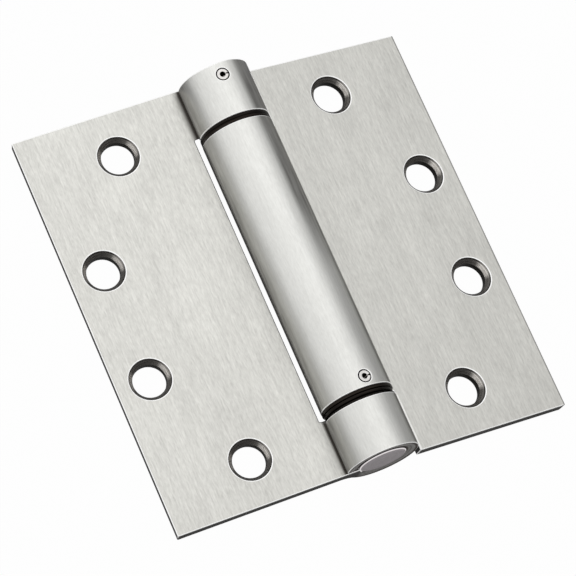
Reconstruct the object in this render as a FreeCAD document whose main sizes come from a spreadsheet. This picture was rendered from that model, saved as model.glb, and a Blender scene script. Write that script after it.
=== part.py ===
"""Spring hinge for a door: a full mortise hinge of three knuckles, lying open on its back.

The frame leaf is one bent plate that carries the two short end knuckles. The door leaf is one
bent plate rolled into the long middle knuckle, which is also the barrel of the torsion spring.
A forked anchor pinned in the barrel's lower end holds one leg of the spring. A forked adjuster
in the top knuckle holds the other leg, and is locked there by a second pin. The adjuster's shank
and the pivot in the bottom knuckle are the two pintles, and turn in flanged bushes.

Every barrel piece is drawn about a barrel axis along +Y, with the leaves flat in X and their
countersunk faces towards +Z. Its Placement then lays it down: the barrel rests on the floor,
and each leaf droops until its outer edge rests there too.
"""

import FreeCAD
import Part
import math
import os
import re

import PartDesign
import Sketcher

SIZES = (
    ("leaf_length", 114.3, "height of both leaves, along the barrel"),
    ("leaf_width", 57.15, "barrel axis to a leaf's outer edge"),
    ("leaf_thick", 3.4, "plate thickness of the leaves"),
    ("barrel_radius", 9.92, "outer radius of the knuckles"),
    ("face_drop", 1.7, "barrel axis to the countersunk face"),
    ("bend_reach", 1.55, "knuckle's outside to the end of the bend behind it"),
    ("seam_gap", 0.5, "slit where the rolled end meets the leaf"),
    ("edge_break", 0.25, "chamfer of the plate's outer edges"),
    ("notch_round", 0.4, "inside corner of a notch"),
    ("frame_notch_gap", 1.45, "frame leaf's notch to the door knuckle"),
    ("door_notch_gap", 1.45, "door leaf's notches to the frame knuckles"),
    ("slot_root", 0.15, "knuckle's outside to the near side of the frame leaf's notch beside it"),
    ("slot_over", 0.75, "frame leaf's notch beyond the top knuckle's end"),
    ("slot_short", 0.85, "frame leaf's notch short of the bottom knuckle's end"),
    ("top_knuckle", 15.6, "length of the top knuckle"),
    ("bottom_knuckle", 14.65, "length of the bottom knuckle"),
    ("outer_hole_inset", 25.3, "leaf's outer edge to the screw holes near the ends"),
    ("outer_hole_end", 12.49, "leaf's end to the screw holes near it"),
    ("inner_hole_inset", 9.5, "leaf's outer edge to the middle screw holes"),
    ("inner_hole_y", 15.82, "mid height to the middle screw holes"),
    ("screw_hole", 8.95, "screw hole diameter at the back"),
    ("screw_seat", 11.5, "countersink diameter at the face"),
    ("screw_angle", 82.0, "countersink angle"),
    ("fit_gap", 0.02, "radial gap of a pressed piece"),
    ("run_gap", 0.05, "gap of a turning or thrust face"),
    ("flange_thick", 0.85, "flange of both bushes"),
    ("flange_inset", 0.17, "knuckle's outside to both bush flanges"),
    ("bush_depth", 8.0, "sleeve of both bushes"),
    ("upper_bush_wall", 1.45, "sleeve wall of the upper bush"),
    ("lower_bush_wall", 0.95, "sleeve wall of the lower bush"),
    ("top_washer_thick", 0.95, "washer in the top gap"),
    ("top_washer_inset", 0.32, "knuckle's outside to the washer in the top gap"),
    ("thrust_thick", 0.85, "each washer in the bottom gap"),
    ("upper_thrust_inset", 0.62, "knuckle's outside to the upper bottom washer"),
    ("lower_thrust_inset", 1.02, "knuckle's outside to the lower bottom washer"),
    ("pin_radius", 1.55, "radius of both slotted pins"),
    ("pin_bore", 0.95, "bore radius of both slotted pins"),
    ("pin_slot", 0.5, "slot of both slotted pins"),
    ("pin_gap", 0.18, "gap round a pin in its knuckle"),
    ("pin_end_gap", 0.3, "lower bush to the inner ends of both pins"),
    ("lock_pin_inset", 3.85, "top end to the lock pin"),
    ("anchor_pin_inset", 2.75, "middle knuckle's lower end to the anchor pin"),
    ("end_recess", 0.25, "plugs below the knuckle ends"),
    ("plug_chamfer", 0.45, "chamfer of the plugs' outer edges"),
    ("shank_tail", 1.3, "shank past the upper bush"),
    ("key_flats", 5.0, "hex socket of the adjuster, across flats"),
    ("key_depth", 7.5, "depth of the hex socket"),
    ("lock_holes", 6, "radial holes round the adjuster"),
    ("anchor_body", 11.0, "length of the anchor below the spring"),
    ("anchor_wall", 2.5, "wall of the anchor round the lower bush"),
    ("fork_length", 5.5, "fork that each end of the spring grips"),
    ("wire_height", 2.8, "spring wire along the barrel"),
    ("wire_width", 2.2, "spring wire across the barrel"),
    ("spring_turns", 15, "turns of the spring"),
    ("spring_sides", 10, "flat sides that stand in for the round of the coil"),
    ("spring_gap", 0.3, "spring to the barrel's bore"),
    ("fork_gap", 0.15, "spring to the forks it sits on"),
)

# Derived places, as formulas of the sizes
BORE = "(barrel_radius - leaf_thick)"
PLUG = f"({BORE} - fit_gap)"
TOP_END = "(leaf_length / 2)"
TOP_LOW = f"({TOP_END} - top_knuckle)"
TOP_GAP = "(flange_thick + top_washer_thick + 3 * run_gap)"
MIDDLE_HIGH = f"({TOP_LOW} - {TOP_GAP})"
BOTTOM_END = "(-leaf_length / 2)"
BOTTOM_HIGH = f"({BOTTOM_END} + bottom_knuckle)"
BOTTOM_GAP = "(flange_thick + 2 * thrust_thick + 4 * run_gap)"
MIDDLE_LOW = f"({BOTTOM_HIGH} + {BOTTOM_GAP})"
BACK_DROP = "(face_drop + leaf_thick)"
# Radius of the bend that is tangent to the knuckle and to the leaf's back
BEND = (f"(((barrel_radius + bend_reach)^2 - barrel_radius^2 + {BACK_DROP}^2)"
        f" / (2 * (barrel_radius - {BACK_DROP})))")
SHANK_END = f"({MIDDLE_HIGH} - bush_depth - shank_tail)"
ANCHOR_TOP = f"({MIDDLE_LOW} + anchor_body)"
LOCK_PIN = f"({TOP_END} - lock_pin_inset)"
ANCHOR_PIN = f"({MIDDLE_LOW} + anchor_pin_inset)"
COIL_OUT = f"({BORE} - spring_gap)"
COIL_IN = f"({COIL_OUT} - wire_width)"
FORK = f"({COIL_IN} - fork_gap)"
LOWER_BUSH_OUT = f"({PLUG} - anchor_wall)"
LOWER_BUSH_IN = f"({LOWER_BUSH_OUT} - lower_bush_wall)"
PINTLE = f"({LOWER_BUSH_IN} - run_gap)"
UPPER_BUSH_IN = f"({PLUG} - upper_bush_wall)"
SHANK = f"({UPPER_BUSH_IN} - run_gap)"
FLANGE = "(barrel_radius - flange_inset)"
OUTER_HOLE_X = "(leaf_width - outer_hole_inset)"
OUTER_HOLE_Y = f"({TOP_END} - outer_hole_end)"
INNER_HOLE_X = "(leaf_width - inner_hole_inset)"
PIN_INNER_END = f"({LOWER_BUSH_OUT} + pin_end_gap)"
# Angle at which the barrel's back and the leaf's back edge meet one floor
DROOP = f"(asin(barrel_radius / sqrt(leaf_width^2 + {BACK_DROP}^2)) - atan({BACK_DROP} / leaf_width))"
FRAME_SIDE, DOOR_SIDE = -1, 1
FRAME_DROOP = f"{FRAME_SIDE} * {DROOP}"
DOOR_DROOP = f"{DOOR_SIDE} * {DROOP}"

ALIASES = {alias for alias, number, note in SIZES}
WORD = re.compile(r"[a-z_]+")
Vector = FreeCAD.Vector

doc = FreeCAD.newDocument("spring_hinge")
sheet = doc.addObject("Spreadsheet::Sheet", "Sizes")
for row, (alias, number, note) in enumerate(SIZES, start=1):
    sheet.set(f"A{row}", note)
    sheet.set(f"B{row}", str(number))
    sheet.setAlias(f"B{row}", alias)
doc.recompute()


def sized(formula):
    """A formula of size names as an expression on the sheet."""
    return WORD.sub(lambda m: f"Sizes.{m[0]}" if m[0] in ALIASES else m[0], formula)


def value(formula):
    """What a formula comes to now, as a plain number."""
    result = sheet.evalExpression(sized(formula))
    return float(getattr(result, "Value", result))


# Sketches and features bound to the sheet

def body(label):
    """An empty body, named as its node."""
    new = doc.addObject("PartDesign::Body", label)
    new.Label = label
    return new


def sketch(owner, name, plane, height="0"):
    """A sketch on one of its body's own planes, or raised from it."""
    drawing = owner.newObject("Sketcher::SketchObject", name)
    support = [f for f in owner.Origin.OriginFeatures if f.Role == plane][0]
    drawing.AttachmentSupport = [(support, "")]
    drawing.MapMode = "FlatFace"
    if height != "0":
        drawing.setExpression("AttachmentOffset.Base.z", sized(height))
    return drawing


def bind(drawing, kind, item, point, formula):
    """One coordinate of a sketch point, bound to a formula."""
    if formula == "0":
        axis = -2 if kind == "DistanceX" else -1
        drawing.addConstraint(Sketcher.Constraint("PointOnObject", item, point, axis))
        return
    rule = Sketcher.Constraint(kind, -1, 1, item, point, value(formula))
    index = drawing.addConstraint(rule)
    drawing.setExpression(f"Constraints[{index}]", sized(formula))


def outline(owner, name, plane, corners, height="0"):
    """A closed outline of straight lines through corners given as pairs of formulas."""
    drawing = sketch(owner, name, plane, height)
    places = [Vector(value(x), value(y), 0) for x, y in corners]
    count = len(places)
    for i in range(count):
        drawing.addGeometry(Part.LineSegment(places[i], places[(i + 1) % count]), False)
    for i in range(count):
        drawing.addConstraint(Sketcher.Constraint("Coincident", i, 2, (i + 1) % count, 1))
    for i, (x, y) in enumerate(corners):
        bind(drawing, "DistanceX", i, 1, x)
        bind(drawing, "DistanceY", i, 1, y)
    return drawing


def box(owner, name, plane, low, high, height="0"):
    """A rectangular outline between two opposite corners."""
    corners = [low, (high[0], low[1]), high, (low[0], high[1])]
    return outline(owner, name, plane, corners, height)


def circles(owner, name, plane, centres, radius, height="0"):
    """Equal circles about centres given as pairs of formulas."""
    drawing = sketch(owner, name, plane, height)
    for i, (x, y) in enumerate(centres):
        centre = Vector(value(x), value(y), 0)
        drawing.addGeometry(Part.Circle(centre, Vector(0, 0, 1), value(radius)), False)
        bind(drawing, "DistanceX", i, 3, x)
        bind(drawing, "DistanceY", i, 3, y)
        index = drawing.addConstraint(Sketcher.Constraint("Radius", i, value(radius)))
        drawing.setExpression(f"Constraints[{index}]", sized(radius))
    return drawing


def extrude(owner, kind, drawing, length, both_ways=True, upwards=False):
    """A Pad or Pocket of a sketch, whose length follows a formula."""
    feature = owner.newObject(f"PartDesign::{kind}", f"{drawing.Name}_{kind.lower()}")
    feature.Profile = drawing
    feature.SideType = "Symmetric" if both_ways else "One side"
    feature.Reversed = upwards
    feature.setExpression("Length", sized(length))
    doc.recompute()
    return feature


def turn(owner, name, corners):
    """A piece turned about the barrel axis from corners given as (radius, place along it)."""
    feature = owner.newObject("PartDesign::Revolution", f"{name}_turned")
    feature.Profile = outline(owner, name, "XY_Plane", corners)
    feature.ReferenceAxis = (feature.Profile[0], ["V_Axis"])
    feature.Angle = 360
    doc.recompute()
    return feature


def round_edges(owner, name, kind, size, chosen):
    """A Fillet or Chamfer on the edges of the body so far that the test chooses."""
    base = owner.Tip
    names = [f"Edge{i}" for i, edge in enumerate(base.Shape.Edges, start=1) if chosen(edge)]
    feature = owner.newObject(f"PartDesign::{kind}", name)
    feature.Base = (base, names)
    feature.setExpression("Radius" if kind == "Fillet" else "Size", sized(size))
    doc.recompute()
    return feature


def lay_down(piece, droop):
    """Turns a piece about the barrel axis with its leaf, and lifts the axis off the floor."""
    piece.Placement.Rotation = FreeCAD.Rotation(Vector(0, 1, 0), 1)
    piece.setExpression("Placement.Rotation.Angle", sized(droop))
    piece.setExpression("Placement.Base.z", sized("barrel_radius"))


def near(a, b):
    """Whether two lengths in millimetres are the same."""
    return abs(a - b) < 1e-4


# The two leaves

def leaf(label, side, notches, notch_gap, pin_place):
    """A countersunk plate rolled into knuckles. Side is -1 for a leaf towards -X, 1 for +X.

    Notches are the spans along the barrel where the roll is cut away for the other leaf. Where the
    notch has other ends beside the knuckles than between them, its span there follows.
    """
    plate = body(label)
    outer = f"({side} * leaf_width)"
    face = "-face_drop"
    back = f"-{BACK_DROP}"
    extrude(plate, "Pad", box(plate, "plate", "XZ_Plane", (outer, back), ("0", face)), "leaf_length")
    roll = circles(plate, "roll", "XZ_Plane", [("0", "0")], "barrel_radius")
    extrude(plate, "Pad", roll, "leaf_length")

    depth = value(BACK_DROP)
    crease_x = side * (value("barrel_radius") ** 2 - depth ** 2) ** 0.5

    def is_crease(edge):
        centre = edge.BoundBox.Center
        return near(centre.x, crease_x) and near(centre.z, -depth) and near(centre.y, 0)

    round_edges(plate, "bend", "Fillet", BEND, is_crease)
    bore = circles(plate, "bore", "XZ_Plane", [("0", "0")], BORE)
    extrude(plate, "Pocket", bore, "leaf_length + 2")
    slit = box(plate, "seam", "XZ_Plane", (f"{side} * (barrel_radius + 1)", face),
               (f"{side} * ({BORE} - 1)", "seam_gap - face_drop"))
    extrude(plate, "Pocket", slit, "leaf_length + 2")

    inner = f"({side} * (barrel_radius + {notch_gap}))"
    root = f"({side} * (barrel_radius + slot_root))"
    across = f"({-side} * (barrel_radius + 1))"
    for i, (low, high, *beside) in enumerate(notches):
        if beside:
            start, end = beside
            corners = [(inner, start), (root, start), (root, low), (across, low),
                       (across, high), (root, high), (root, end), (inner, end)]
        else:
            corners = [(inner, low), (across, low), (across, high), (inner, high)]
        cut = outline(plate, f"notch_{i}", "XY_Plane", corners)
        extrude(plate, "Pocket", cut, "2 * barrel_radius + 2")

    def is_notch_corner(edge):
        centre = edge.BoundBox.Center
        upright = edge.BoundBox.ZLength > value("leaf_thick") - 0.1 and near(edge.BoundBox.YLength, 0)
        inside = abs(centre.y) < value(TOP_END) - 1
        return upright and near(centre.x, value(inner)) and inside

    round_edges(plate, "notch_corners", "Fillet", "notch_round", is_notch_corner)
    add_screw_holes(plate, side)
    hole = circles(plate, "pin_hole", "XY_Plane", [("0", pin_place)], "pin_radius + pin_gap")
    extrude(plate, "Pocket", hole, "barrel_radius + 1", both_ways=False, upwards=True)

    def is_outer_edge(edge):
        centre = edge.BoundBox.Center
        at_side = near(centre.x, value(outer))
        at_end = near(abs(centre.y), value(TOP_END)) and near(edge.BoundBox.ZLength, 0)
        flat = near(centre.z, -value("face_drop")) or near(centre.z, -depth)
        return (at_side and near(edge.BoundBox.ZLength, 0)) or (at_end and flat)

    round_edges(plate, "broken_edges", "Chamfer", "edge_break", is_outer_edge)
    lay_down(plate, f"{side} * {DROOP}")
    return plate


def add_screw_holes(plate, side):
    """Four countersunk holes, a pair near the ends and a pair near the outer edge."""
    outer_pair = [(f"{side} * {OUTER_HOLE_X}", f"{s} * {OUTER_HOLE_Y}") for s in (1, -1)]
    inner_pair = [(f"{side} * {INNER_HOLE_X}", f"{s} * inner_hole_y") for s in (1, -1)]
    places = circles(plate, "screws", "XY_Plane", outer_pair + inner_pair, "screw_hole / 2", "-face_drop")
    doc.recompute()
    hole = plate.newObject("PartDesign::Hole", "screw_holes")
    hole.Profile = places
    hole.ThreadType = "None"
    hole.DepthType = "ThroughAll"
    hole.setExpression("Diameter", sized("screw_hole"))
    hole.HoleCutType = "Countersink"
    hole.HoleCutCustomValues = True
    hole.setExpression("HoleCutDiameter", sized("screw_seat"))
    hole.setExpression("HoleCutCountersinkAngle", sized("screw_angle"))
    doc.recompute()


# Turned pieces of the barrel

def ring(label, inner, outer, low, high, droop):
    """A plain washer."""
    washer = body(label)
    turn(washer, "ring", [(inner, low), (outer, low), (outer, high), (inner, high)])
    lay_down(washer, droop)
    return washer


def flanged_bush(label, inner, outer, seat, inwards, droop):
    """A sleeve pressed into the middle knuckle, with a thrust flange outside its end.

    Seat is the knuckle's end, and inwards is 1 or -1, the way from there into the knuckle.
    """
    bush = body(label)
    near_face = f"({seat} - {inwards} * run_gap)"
    far_face = f"({near_face} - {inwards} * flange_thick)"
    tail = f"({seat} + {inwards} * bush_depth)"
    turn(bush, "section", [
        (inner, far_face),
        (FLANGE, far_face),
        (FLANGE, near_face),
        (outer, near_face),
        (outer, tail),
        (inner, tail),
    ])
    lay_down(bush, droop)
    return bush


def add_fork_slot(piece, base, end):
    """A slot right across the fork, from its shoulder to its tip, for a leg of the spring."""
    half = "(wire_width / 2 + fork_gap)"
    slot = box(piece, "fork_slot", "XY_Plane", (f"-{half}", base), (half, end))
    extrude(piece, "Pocket", slot, f"2 * {COIL_OUT}")


def add_pin_socket(piece, place):
    """A blind radial hole that a pin enters."""
    inner_end = f"({PIN_INNER_END} - fit_gap)"
    mouth = circles(piece, "pin_socket", "XY_Plane", [("0", place)], "pin_radius + fit_gap", inner_end)
    return extrude(piece, "Pocket", mouth, f"{PLUG} - {inner_end} + 1", both_ways=False, upwards=True)


def tension_adjuster(droop):
    """Plug in the top knuckle: hex socket above, ring of lock holes, shank and fork below."""
    piece = body("tension_adjuster")
    top = f"({TOP_END} - end_recess)"
    tip = f"({SHANK_END} - fork_length)"
    turn(piece, "section", [
        ("0", tip),
        (FORK, tip),
        (FORK, SHANK_END),
        (SHANK, SHANK_END),
        (SHANK, TOP_LOW),
        (PLUG, TOP_LOW),
        (PLUG, f"{top} - plug_chamfer"),
        (f"{PLUG} - plug_chamfer", top),
        ("0", top),
    ])
    add_fork_slot(piece, SHANK_END, f"{tip} - 1")
    socket = add_pin_socket(piece, LOCK_PIN)
    ring_of_holes = piece.newObject("PartDesign::PolarPattern", "lock_hole_ring")
    ring_of_holes.Originals = [socket]
    axis = [f for f in piece.Origin.OriginFeatures if f.Role == "Y_Axis"][0]
    ring_of_holes.Axis = (axis, [""])
    ring_of_holes.Angle = 360
    ring_of_holes.setExpression("Occurrences", sized("lock_holes"))
    piece.Tip = ring_of_holes
    doc.recompute()
    corner = "(key_flats / sqrt(3))"
    hexagon = [
        (corner, "0"),
        (f"{corner} / 2", "key_flats / 2"),
        (f"-{corner} / 2", "key_flats / 2"),
        (f"-{corner}", "0"),
        (f"-{corner} / 2", "-key_flats / 2"),
        (f"{corner} / 2", "-key_flats / 2"),
    ]
    key = outline(piece, "key_socket", "XZ_Plane", hexagon, f"-{top}")
    extrude(piece, "Pocket", key, "key_depth", both_ways=False, upwards=True)
    lay_down(piece, droop)
    return piece


def bottom_pivot(droop):
    """Plug in the bottom knuckle, with the pintle that the door leaf turns on."""
    piece = body("bottom_pivot")
    low = f"({BOTTOM_END} + end_recess)"
    tip = f"({MIDDLE_LOW} + bush_depth)"
    turn(piece, "section", [
        ("0", low),
        (f"{PLUG} - plug_chamfer", low),
        (PLUG, f"{low} + plug_chamfer"),
        (PLUG, BOTTOM_HIGH),
        (PINTLE, BOTTOM_HIGH),
        (PINTLE, tip),
        ("0", tip),
    ])
    lay_down(piece, droop)
    return piece


def spring_anchor(droop):
    """Plug pinned in the barrel's lower end, bored for the bush, with a fork for the spring."""
    piece = body("spring_anchor")
    low = f"({MIDDLE_LOW} + end_recess)"
    bore_end = f"({MIDDLE_LOW} + bush_depth + run_gap)"
    tip = f"({ANCHOR_TOP} + fork_length)"
    bore = f"({LOWER_BUSH_OUT} + fit_gap)"
    turn(piece, "section", [
        (bore, low),
        (PLUG, low),
        (PLUG, ANCHOR_TOP),
        (FORK, ANCHOR_TOP),
        (FORK, tip),
        ("0", tip),
        ("0", bore_end),
        (bore, bore_end),
    ])
    add_fork_slot(piece, ANCHOR_TOP, f"{tip} + 1")
    add_pin_socket(piece, ANCHOR_PIN)
    lay_down(piece, droop)
    return piece


# The slotted pins and the spring

def slotted_pin(label, place, droop):
    """A rolled pin of sheet steel, flush with the knuckle, with its slit and bevelled outer end."""
    piece = body(label)
    outer_end = "(sqrt(barrel_radius^2 - pin_radius^2))"
    wall = "(pin_radius - pin_bore)"
    profile = [
        ("pin_bore", PIN_INNER_END),
        ("pin_radius", PIN_INNER_END),
        ("pin_radius", f"{outer_end} - {wall} / 4"),
        (f"pin_radius - {wall} / 4", outer_end),
        ("pin_bore", outer_end),
    ]
    tube = piece.newObject("PartDesign::Revolution", "tube")
    tube.Profile = outline(piece, "section", "XZ_Plane", profile)
    tube.ReferenceAxis = (tube.Profile[0], ["V_Axis"])
    tube.Angle = 360
    doc.recompute()
    slit = box(piece, "slit", "XY_Plane", ("0", "-pin_slot / 2"), ("2 * pin_radius", "pin_slot / 2"))
    extrude(piece, "Pocket", slit, "2 * barrel_radius + 2")
    lay_down(piece, droop)
    piece.setExpression("Placement.Base.y", sized(place))
    return piece


def torsion_spring(droop):
    """A coil of flat wire round both forks, with a leg across each fork's slot.

    Each half turn lies flat on its own slant, as a coil's turns look from the side, and flat
    sides stand in for its round. Their corners touch the coil's outside, and their middles its inside.
    """
    outer, inner = value(COIL_OUT), value(COIL_IN)
    height, width = value("wire_height"), value("wire_width")
    turns = int(value("spring_turns"))
    start = value(ANCHOR_TOP) + value("run_gap")
    length = value(SHANK_END) - value("run_gap") - start
    rise = (length - height) / (2 * turns)
    slope = rise / (outer + inner)
    reach = outer + 1
    sides = int(value("spring_sides"))

    def prism(radius):
        turn_each = 2 * math.pi / sides
        corners = [Vector(radius * math.cos(i * turn_each), radius * math.sin(i * turn_each), 0)
                   for i in range(sides)]
        return Part.Face(Part.makePolygon(corners + corners[:1])).extrude(Vector(0, 0, length))

    tube = prism(outer).cut(prism(inner / math.cos(math.pi / sides)))

    def half_turn(index):
        side = 1 if index % 2 == 0 else -1
        tilt = -side * slope * reach
        low = (index + 0.5) * rise
        corners = [Vector(-reach, 0, low - tilt), Vector(reach, 0, low + tilt),
                   Vector(reach, 0, low + tilt + height), Vector(-reach, 0, low - tilt + height)]
        slab = Part.Face(Part.makePolygon(corners + corners[:1])).extrude(Vector(0, side * reach, 0))
        return tube.common(slab)

    def leg(low, angle):
        bar = Part.makeBox(outer + inner - width, width, height, Vector(width / 2 - inner, -width / 2, low))
        bar.rotate(Vector(0, 0, 0), Vector(0, 0, 1), angle)
        return bar

    fold = value(f"{FRAME_DROOP} - {DOOR_DROOP}")
    halves = [half_turn(i) for i in range(2 * turns)]
    coil = halves[0].fuse(halves[1:] + [leg(0, 0), leg(length - height, fold)])
    spring = doc.addObject("Part::Feature", "torsion_spring")
    spring.Label = "torsion_spring"
    spring.Shape = coil
    along_barrel = FreeCAD.Placement(Vector(0, start, 0), FreeCAD.Rotation(Vector(1, 0, 0), -90))
    legs_in_slots = FreeCAD.Placement(Vector(0, 0, 0), FreeCAD.Rotation(Vector(0, 0, 1), 90))
    tilt = FreeCAD.Rotation(Vector(0, 1, 0), value(droop))
    lifted = FreeCAD.Placement(Vector(0, 0, value("barrel_radius")), tilt)
    spring.Placement = lifted * along_barrel * legs_in_slots
    return spring


# The hinge
THRUST_LOW = f"({BOTTOM_HIGH} + run_gap)"
THRUST_HIGH = f"({THRUST_LOW} + thrust_thick + run_gap)"
OVER = f"({TOP_END} + 1)"
SLOT_LOW = f"({BOTTOM_HIGH} + slot_short)"
SLOT_HIGH = f"({TOP_LOW} + slot_over)"
WASHER_HOLE = f"({PINTLE} + 2 * run_gap)"

pieces = [
    leaf("frame_leaf", FRAME_SIDE, [(BOTTOM_HIGH, TOP_LOW, SLOT_LOW, SLOT_HIGH)],
         "frame_notch_gap", LOCK_PIN),
    leaf("door_leaf", DOOR_SIDE, [(f"-{OVER}", MIDDLE_LOW), (MIDDLE_HIGH, OVER)],
         "door_notch_gap", ANCHOR_PIN),
    tension_adjuster(FRAME_DROOP),
    bottom_pivot(FRAME_DROOP),
    slotted_pin("tension_lock_pin", LOCK_PIN, FRAME_DROOP),
    ring("top_thrust_washer", f"({UPPER_BUSH_IN} + run_gap)", "(barrel_radius - top_washer_inset)",
         f"({TOP_LOW} - run_gap - top_washer_thick)", f"({TOP_LOW} - run_gap)", FRAME_DROOP),
    ring("upper_bottom_washer", WASHER_HOLE, "(barrel_radius - upper_thrust_inset)",
         THRUST_HIGH, f"({THRUST_HIGH} + thrust_thick)", FRAME_DROOP),
    ring("lower_bottom_washer", WASHER_HOLE, "(barrel_radius - lower_thrust_inset)",
         THRUST_LOW, f"({THRUST_LOW} + thrust_thick)", FRAME_DROOP),
    spring_anchor(DOOR_DROOP),
    slotted_pin("anchor_pin", ANCHOR_PIN, DOOR_DROOP),
    flanged_bush("upper_bush", UPPER_BUSH_IN, PLUG, MIDDLE_HIGH, -1, DOOR_DROOP),
    flanged_bush("lower_bush", LOWER_BUSH_IN, LOWER_BUSH_OUT, MIDDLE_LOW, 1, DOOR_DROOP),
    torsion_spring(DOOR_DROOP),
]
doc.recompute()

# Check every object, then write each piece
for item in doc.Objects:
    if "Invalid" in item.State or "Error" in item.State:
        raise RuntimeError(f"{item.Label} failed: {item.State}")
os.makedirs("parts", exist_ok=True)
for piece in pieces:
    if piece.Shape.isNull() or not piece.Shape.isValid() or len(piece.Shape.Solids) != 1:
        raise RuntimeError(f"{piece.Label} is not one good solid")
for piece in pieces:
    piece.Shape.exportStep(f"parts/{piece.Label}.step")
    print(f"{piece.Label}: {piece.Shape.Volume:.1f} mm3")
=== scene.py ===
"""Looks of the spring hinge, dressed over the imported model.

Lengths in this file are millimetres and angles degrees. A place named local is measured from
the barrel axis, with the leaf flat and its countersunk face up; laid() turns it down with its
leaf, lifts it off the floor and makes it metres.
"""

import bmesh
import bpy
import numpy as np
from mathutils import Matrix


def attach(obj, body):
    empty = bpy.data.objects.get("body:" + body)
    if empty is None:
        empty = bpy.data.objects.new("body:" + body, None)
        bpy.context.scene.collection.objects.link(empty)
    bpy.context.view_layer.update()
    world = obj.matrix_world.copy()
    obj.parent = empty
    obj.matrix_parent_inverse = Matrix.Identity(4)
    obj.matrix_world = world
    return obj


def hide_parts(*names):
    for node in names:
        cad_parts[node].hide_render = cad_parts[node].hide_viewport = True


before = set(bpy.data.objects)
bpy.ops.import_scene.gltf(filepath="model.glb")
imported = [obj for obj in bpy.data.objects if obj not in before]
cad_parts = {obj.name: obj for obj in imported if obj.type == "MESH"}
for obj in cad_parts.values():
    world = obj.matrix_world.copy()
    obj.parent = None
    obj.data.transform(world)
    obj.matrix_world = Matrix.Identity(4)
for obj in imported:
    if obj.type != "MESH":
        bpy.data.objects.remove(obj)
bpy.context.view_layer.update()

# Sizes of the hinge, the same as the solids have
BARREL = 9.92
THICK = 3.4
BORE = BARREL - THICK
FACE = -1.7
BACK = FACE - THICK
WIDTH = 57.15
HALF_LENGTH = 57.15
BEND_REACH = 1.55
SEAM = 0.5
DROOP = np.degrees(np.arcsin(BARREL / np.hypot(WIDTH, BACK)) + np.arctan(BACK / WIDTH))
TOP_LOW = HALF_LENGTH - 15.6
BOTTOM_HIGH = 14.65 - HALF_LENGTH
MIDDLE_HIGH = TOP_LOW - 1.95
MIDDLE_LOW = BOTTOM_HIGH + 2.75
SLOT_LOW, SLOT_HIGH = BOTTOM_HIGH + 0.85, TOP_LOW + 0.75
FRAME_NOTCH, DOOR_NOTCH = BARREL + 1.1, BARREL + 2.1
NOTCH_ROUND = 0.4
SEAT, LAND = 5.75, 4.475
SINK = (SEAT - LAND) / np.tan(np.radians(41))
SCREWS = [(31.85, 44.66), (31.85, -44.66), (47.65, 15.82), (47.65, -15.82)]
PIN_HOLE = 1.84
LOCK_PIN, ANCHOR_PIN = HALF_LENGTH - 3.85, MIDDLE_LOW + 2.75
FRAME_SIDE, DOOR_SIDE = -1, 1

# Material slots of a leaf, how far its edges are rounded, and how far its outer edge slants in
PLATE_SLOT, WALL_SLOT, SEAT_SLOT, EDGE_SLOT = range(4)
EDGE_ROUND, SHEAR = 0.22, 0.35

# A rounded corner of an outline has this many lines, and one more point
CORNER_LINES = 4


# Mesh code

def laid(points, side):
    """Local points turned by the droop about +Y, lifted by the barrel's radius, in metres."""
    angle = np.radians(side * DROOP)
    x, y, z = np.moveaxis(np.asarray(points, float), -1, 0)
    turned = [x * np.cos(angle) + z * np.sin(angle), y, z * np.cos(angle) - x * np.sin(angle) + BARREL]
    return np.stack(turned, -1) / 1000


def grid_faces(rows, columns, wrap_rows=False, wrap_columns=False):
    """Quads of a grid whose point (i, j) is number i * columns + j."""
    i = np.arange(rows if wrap_rows else rows - 1)
    j = np.arange(columns if wrap_columns else columns - 1)
    i, j = np.meshgrid(i, j, indexing="ij")
    a, b = i * columns + j, i * columns + (j + 1) % columns
    c, d = (i + 1) % rows * columns + (j + 1) % columns, (i + 1) % rows * columns + j
    return np.stack([a, b, c, d], -1).reshape(-1, 4)


def make_piece(name, points, faces, materials, face_material=None, fields=None, bevel=0.0, bevel_slot=0):
    """An object from points in metres and faces, with doubles merged and faces turned outwards.

    Fields are named per-point vectors that materials read. Bevel rounds edges over 45 degrees,
    and gives the rounding the material in bevel_slot.
    """
    mesh = bpy.data.meshes.new(name)
    mesh.from_pydata(points.tolist(), [], [f.tolist() if hasattr(f, "tolist") else f for f in faces])
    for material in materials:
        mesh.materials.append(material)
    if face_material is not None:
        mesh.polygons.foreach_set("material_index", np.asarray(face_material, np.int32))
    for label, values in (fields or {}).items():
        attribute = mesh.attributes.new(label, "FLOAT_VECTOR", "POINT")
        attribute.data.foreach_set("vector", np.asarray(values, np.float32).ravel())
    work = bmesh.new()
    work.from_mesh(mesh)
    bmesh.ops.remove_doubles(work, verts=work.verts, dist=2e-7)
    bmesh.ops.recalc_face_normals(work, faces=work.faces)
    work.to_mesh(mesh)
    work.free()
    mesh.polygons.foreach_set("use_smooth", np.ones(len(mesh.polygons), bool))
    piece = bpy.data.objects.new(name, mesh)
    bpy.context.scene.collection.objects.link(piece)
    if bevel:
        rounding = piece.modifiers.new("edges", "BEVEL")
        rounding.width = bevel / 1000
        rounding.segments = 3
        rounding.limit_method = "ANGLE"
        rounding.angle_limit = np.radians(45)
        rounding.material = bevel_slot
        rounding.use_clamp_overlap = False
        rounding.harden_normals = True
    return piece


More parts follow.
